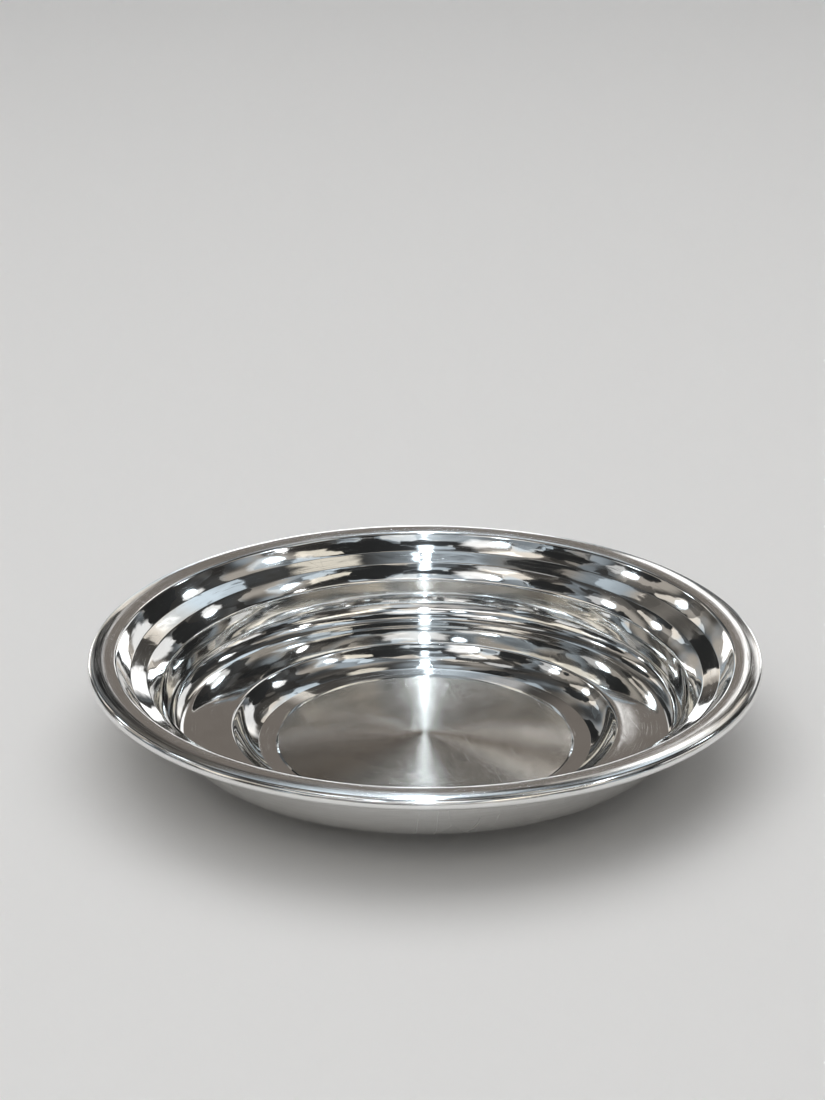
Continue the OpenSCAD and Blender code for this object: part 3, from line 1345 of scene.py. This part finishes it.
@dataclass
class Studio:
    """A plain pale floor with a sweep round it, soft lamps, and a dim room that the steel reflects.

    Args:
        floor_colour: Colour of the paper.
        dark_colour: Colour of the dark cards.
        sky_colour: Colour of the even light from all round.
        sky_strength: Strength of that light.
        floor_r: Radius of the flat floor in mm.
        sweep_bend: Radius of the bend from the floor to the upright part of the sweep, in mm.
        sweep_h: Height of the upright part in mm.
        sweep_rows: Number of rows in the bend.
        columns: Number of columns round the floor and the sweep.
        room_r: Radius of the room in mm.
        room_rows: Number of rows of the room, from its lowest point to its highest.
        room_columns: Number of columns round the room.
        room_dark: Brightness of the room's dark patches.
        room_warm: Brightness of the room's warm light patches.
        room_cool: Brightness of the room's cool light patches.
        room_calm: Brightness of the calm part behind the plate.
        lamps: The lamps.
        glows: The glowing cards.
        dark_cards: The dark cards.
    """

    floor_colour: Colour = (0.80, 0.79, 0.775)
    dark_colour: Colour = (0.02, 0.02, 0.02)
    sky_colour: Colour = (0.95, 0.97, 1.0)
    sky_strength: float = 0.45
    floor_r: float = 2600.0
    sweep_bend: float = 1200.0
    sweep_h: float = 2600.0
    sweep_rows: int = 13
    columns: int = 96
    room_r: float = 5000.0
    room_rows: int = 33
    room_columns: int = 64
    room_dark: Colour = (0.03, 0.028, 0.026)
    room_warm: Colour = (1.0, 0.92, 0.82)
    room_cool: Colour = (0.78, 0.90, 1.0)
    room_calm: Colour = (0.19, 0.168, 0.15)
    lamps: tuple[Lamp, ...] = LAMPS
    glows: tuple[Glow, ...] = GLOWS
    dark_cards: tuple[Card, ...] = DARK_CARDS

    @staticmethod
    def _matt(name: str, colour: Colour) -> bpy.types.Material:
        """Matt paper or card with a very slight unevenness.

        Args:
            name: Name of the material.
            colour: Its colour.

        Returns:
            The material.
        """
        material = bpy.data.materials.new(name)
        material.use_nodes = True
        sheet = NodeSheet(material.node_tree)
        where = sheet.add("ShaderNodeTexCoord").outputs["Object"]
        noise = sheet.noise(where, 3.0, 2.0).outputs["Fac"]
        matt = sheet.add("ShaderNodeBsdfPrincipled", {"Base Color": (*colour, 1.0)})
        sheet.feed(matt.inputs["Roughness"], sheet.spread(noise, 0.2, 0.8, 0.78, 0.84))
        sheet.add("ShaderNodeOutputMaterial", {"Surface": matt.outputs[0]})
        return material

    def build(self) -> None:
        """Builds the floor, the sweep, the even light, the room, the lamps and the cards."""
        angle = np.linspace(0.0, 2 * math.pi, self.columns, endpoint=False)
        floor_rows = np.array([[0.0], [self.floor_r / 2], [self.floor_r]])
        paper = self._matt("studio_paper", self.floor_colour)
        floor = GridSurface(turned_surface(floor_rows, np.zeros((3, 1)), angle))
        turn = np.radians(np.linspace(0.0, 90.0, self.sweep_rows))[:, None]
        radius = self.floor_r + self.sweep_bend * np.sin(turn)
        height = self.sweep_bend * (1 - np.cos(turn))
        radius = np.concatenate([radius, radius[-1:]])
        height = np.concatenate([height, [[self.sweep_bend + self.sweep_h]]])
        sweep = GridSurface(turned_surface(radius, height, angle))
        for name, surface in (("studio_floor", floor), ("studio_sweep", sweep)):
            rows = len(surface.points)
            piece = surface.to_object(name, {}, np.zeros(rows, int))
            piece.data.materials.append(paper)
            piece.visible_glossy = name == "studio_floor"
        self._world()
        self._room()
        for lamp in self.lamps:
            lamp.build()
        dark = self._matt("dark_card", self.dark_colour)
        for card in self.dark_cards:
            card.build(dark)
        light = self._soft_light()
        for glow in self.glows:
            glow.build(light)

    @staticmethod
    def _soft_light() -> bpy.types.Material:
        """Light that fades out towards a card's outline and adds to what is behind the card.

        Returns:
            The material.
        """
        material = bpy.data.materials.new("soft_light")
        material.use_nodes = True
        sheet = NodeSheet(material.node_tree)
        fade = sheet.add("ShaderNodeAttribute", attribute_name=FADE_ATTRIBUTE).outputs["Fac"]
        light = sheet.add("ShaderNodeAttribute", attribute_name=GLOW_ATTRIBUTE).outputs["Color"]
        strength = sheet.spread(fade, 0.0, 1.0)
        glow = sheet.add("ShaderNodeEmission", {"Color": light, "Strength": strength}).outputs[0]
        clear = sheet.add("ShaderNodeBsdfTransparent").outputs[0]
        both = sheet.add("ShaderNodeAddShader", {0: glow, 1: clear}).outputs[0]
        sheet.add("ShaderNodeOutputMaterial", {"Surface": both})
        return material

    def _room(self) -> None:
        """Builds a dim room round the studio, which only reflections show, as a sphere."""
        rise = np.radians(np.linspace(-90.0, 90.0, self.room_rows))[:, None]
        angle = np.linspace(0.0, 2 * math.pi, self.room_columns, endpoint=False)
        points = turned_surface(self.room_r * np.cos(rise), self.room_r * np.sin(rise), angle)
        room = GridSurface(points, poles=True).to_object("studio_room", {}, np.zeros(len(rise), int))
        room.data.materials.append(self._room_glow())
        room.visible_camera = False
        room.visible_diffuse = False
        room.visible_shadow = False

    def _room_glow(self) -> bpy.types.Material:
        """Light of the room: soft shades with a few small things in them, and a calm part behind the plate.

        The shades are slow noise, and so is their tone, from warm to cool. The things are cells of one
        random colour each, whose pattern is bent by noise: a high red makes one bright, and a high green
        makes one dark. The brightness mixes the dark colour with the tone outside the calm part.

        Returns:
            The material.
        """
        material = bpy.data.materials.new("room_glow")
        material.use_nodes = True
        material.cycles.emission_sampling = "NONE"
        sheet = NodeSheet(material.node_tree)
        where = sheet.add("ShaderNodeTexCoord").outputs["Object"]
        calm = self._calm_part(sheet, where)
        bend = sheet.noise(where, 0.8, 1.5).outputs["Color"]
        reach = {0: bend, 1: (1.6, 1.6, 1.6), 2: where}
        bent = sheet.add("ShaderNodeVectorMath", reach, operation="MULTIPLY_ADD")
        cells = {"Vector": bent.outputs[0], "Scale": 1.2, "Smoothness": 0.12}
        things = sheet.add("ShaderNodeTexVoronoi", cells, feature="SMOOTH_F1").outputs["Color"]
        thing = sheet.add("ShaderNodeSeparateColor", {"Color": things}).outputs
        shades = sheet.noise(where, 0.6, 1.5).outputs["Color"]
        shade = sheet.add("ShaderNodeSeparateColor", {"Color": shades}).outputs
        light = sheet.spread(shade["Red"], 0.4, 0.64, 0.03, 0.42)
        light = sheet.maths("ADD", light, sheet.spread(thing["Red"], 0.78, 0.86, 0.0, 0.75))
        light = sheet.maths("MULTIPLY", light, sheet.spread(thing["Green"], 0.70, 0.84, 1.0, 0.1))
        light = sheet.maths("MULTIPLY", light, sheet.maths("SUBTRACT", 1.0, calm))
        tone = sheet.mix(sheet.spread(shade["Green"], 0.45, 0.6), self.room_warm, self.room_cool)
        lit = sheet.mix(light, self.room_dark, tone)
        colour = sheet.mix(calm, lit, self.room_calm)
        glow = sheet.add("ShaderNodeEmission", {"Color": colour, "Strength": 1.0})
        sheet.add("ShaderNodeOutputMaterial", {"Surface": glow.outputs[0]})
        return material

    @staticmethod
    def _calm_part(sheet: NodeSheet, where: bpy.types.NodeSocket) -> bpy.types.NodeSocket:
        """Share of the calm part, which is a block of the room behind the plate with soft sides.

        It is the product of three soft steps: how far back, how far to the side, and how far over or under
        the block's middle.

        Args:
            sheet: Node tree of the room.
            where: Place in the room, in metres.

        Returns:
            The share, from 0 to 1.
        """
        axes = sheet.add("ShaderNodeSeparateXYZ", {0: where}).outputs
        behind = sheet.spread(axes["Y"], 1.0, 3.0)
        beside = sheet.spread(sheet.maths("ABSOLUTE", axes["X"]), 0.6, 1.0, 1.0, 0.0)
        off_level = sheet.maths("ABSOLUTE", sheet.maths("SUBTRACT", axes["Z"], 2.0))
        level = sheet.spread(off_level, 0.7, 1.1, 1.0, 0.0)
        return sheet.maths("MULTIPLY", behind, sheet.maths("MULTIPLY", beside, level))

    def _world(self) -> None:
        """Puts soft even light on the surfaces."""
        world = bpy.data.worlds.new("studio_light")
        world.use_nodes = True
        sheet = NodeSheet(world.node_tree)
        light = {"Color": (*self.sky_colour, 1.0), "Strength": self.sky_strength}
        soft = sheet.add("ShaderNodeBackground", light)
        sheet.add("ShaderNodeOutputWorld", {"Surface": soft.outputs[0]})
        bpy.context.scene.world = world


@dataclass(frozen=True)
class PhotoCamera:
    """The camera of the photograph, as worked out from the rim, the lip, the floor and the disc.

    Args:
        focal_px: Focal length in pixels of the photograph.
        frame_px: Width and height of the photograph.
        sensor_mm: Size of the sensor along its longer side.
        clip_m: Nearest and farthest distance that shows.
        axis_px: Column of the photograph that the plate's axis falls on.
        distance: Distance in mm from the middle of the rim roll's circle.
        elevation: Height of the camera over that circle in degrees.
        pitch: How far the camera looks down in degrees.
    """

    focal_px: float = 3000.0
    frame_px: tuple[int, int] = (825, 1100)
    sensor_mm: float = 36.0
    clip_m: tuple[float, float] = (0.05, 50.0)
    axis_px: float = 425.0
    distance: float = 1250.1
    elevation: float = 24.17
    pitch: float = 22.20

    def build(self, target_height: float) -> bpy.types.Object:
        """Makes the camera. Its long side is the photograph's height, so that sets the lens.

        Args:
            target_height: Height of the rim roll's circle in mm.

        Returns:
            The camera's object.
        """
        data = bpy.data.cameras.new("photo_camera")
        data.sensor_fit = "AUTO"
        data.sensor_width = self.sensor_mm
        data.lens = self.sensor_mm * self.focal_px / self.frame_px[1]
        data.clip_start, data.clip_end = self.clip_m
        elevation = math.radians(self.elevation)
        mm_per_px = self.distance / self.focal_px
        aside = (self.frame_px[0] / 2 - self.axis_px) * mm_per_px
        back = -self.distance * math.cos(elevation)
        up = target_height + self.distance * math.sin(elevation)
        camera = bpy.data.objects.new("photo_camera", data)
        camera.location = Vector((aside, back, up)) * MM
        camera.rotation_euler = (math.radians(90 - self.pitch), 0.0, 0.0)
        bpy.context.scene.collection.objects.link(camera)
        bpy.context.scene.camera = camera
        return camera


def place_piece(piece: bpy.types.Object, node: str) -> None:
    """Puts a finished piece into the frame: it rides on the body and stands for its CAD node.

    Args:
        piece: The piece.
        node: The CAD node that it replaces.
    """
    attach(piece, ROOT_BODY)
    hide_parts(node)
    triangles = sum(len(face.vertices) - 2 for face in piece.data.polygons)
    log.info("%s stands for %s: %d triangles", piece.name, node, triangles)


LENS_GLOW = {"Threshold": 1.2, "Smoothness": 0.3, "Strength": 0.35, "Size": 0.35}


def add_glow(scene: bpy.types.Scene) -> None:
    """Adds the faint glow that a lens gives to the brightest highlights.

    Args:
        scene: The scene.
    """
    scene.use_nodes = True
    sheet = NodeSheet(scene.node_tree)
    picture = sheet.add("CompositorNodeRLayers").outputs["Image"]
    glow = sheet.add("CompositorNodeGlare", {"Image": picture, **LENS_GLOW}, glare_type="BLOOM")
    sheet.add("CompositorNodeComposite", {"Image": glow.outputs["Image"]})


def main() -> None:
    """Builds the plate, the studio and the camera."""
    logging.basicConfig(level=logging.INFO, format="%(name)s: %(message)s")
    low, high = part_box(DISH_NODE)
    sizes = SheetSizes(plate_d=round((high.x - low.x) / MM, 1), plate_h=round((high.z - low.z) / MM, 1))
    PhotoCamera().build(float(sizes.curl_centre[1]))
    effects = SteelEffects()
    dish = Dish(sizes)
    piece = dish.build()
    dish.dress(piece, effects)
    place_piece(piece, DISH_NODE)
    wire = RimWire(sizes)
    piece = wire.build()
    wire.dress(piece, effects)
    place_piece(piece, WIRE_NODE)
    Studio().build()
    bpy.context.scene.view_settings.view_transform = "Standard"
    add_glow(bpy.context.scene)


if __name__ == "__main__":
    main()
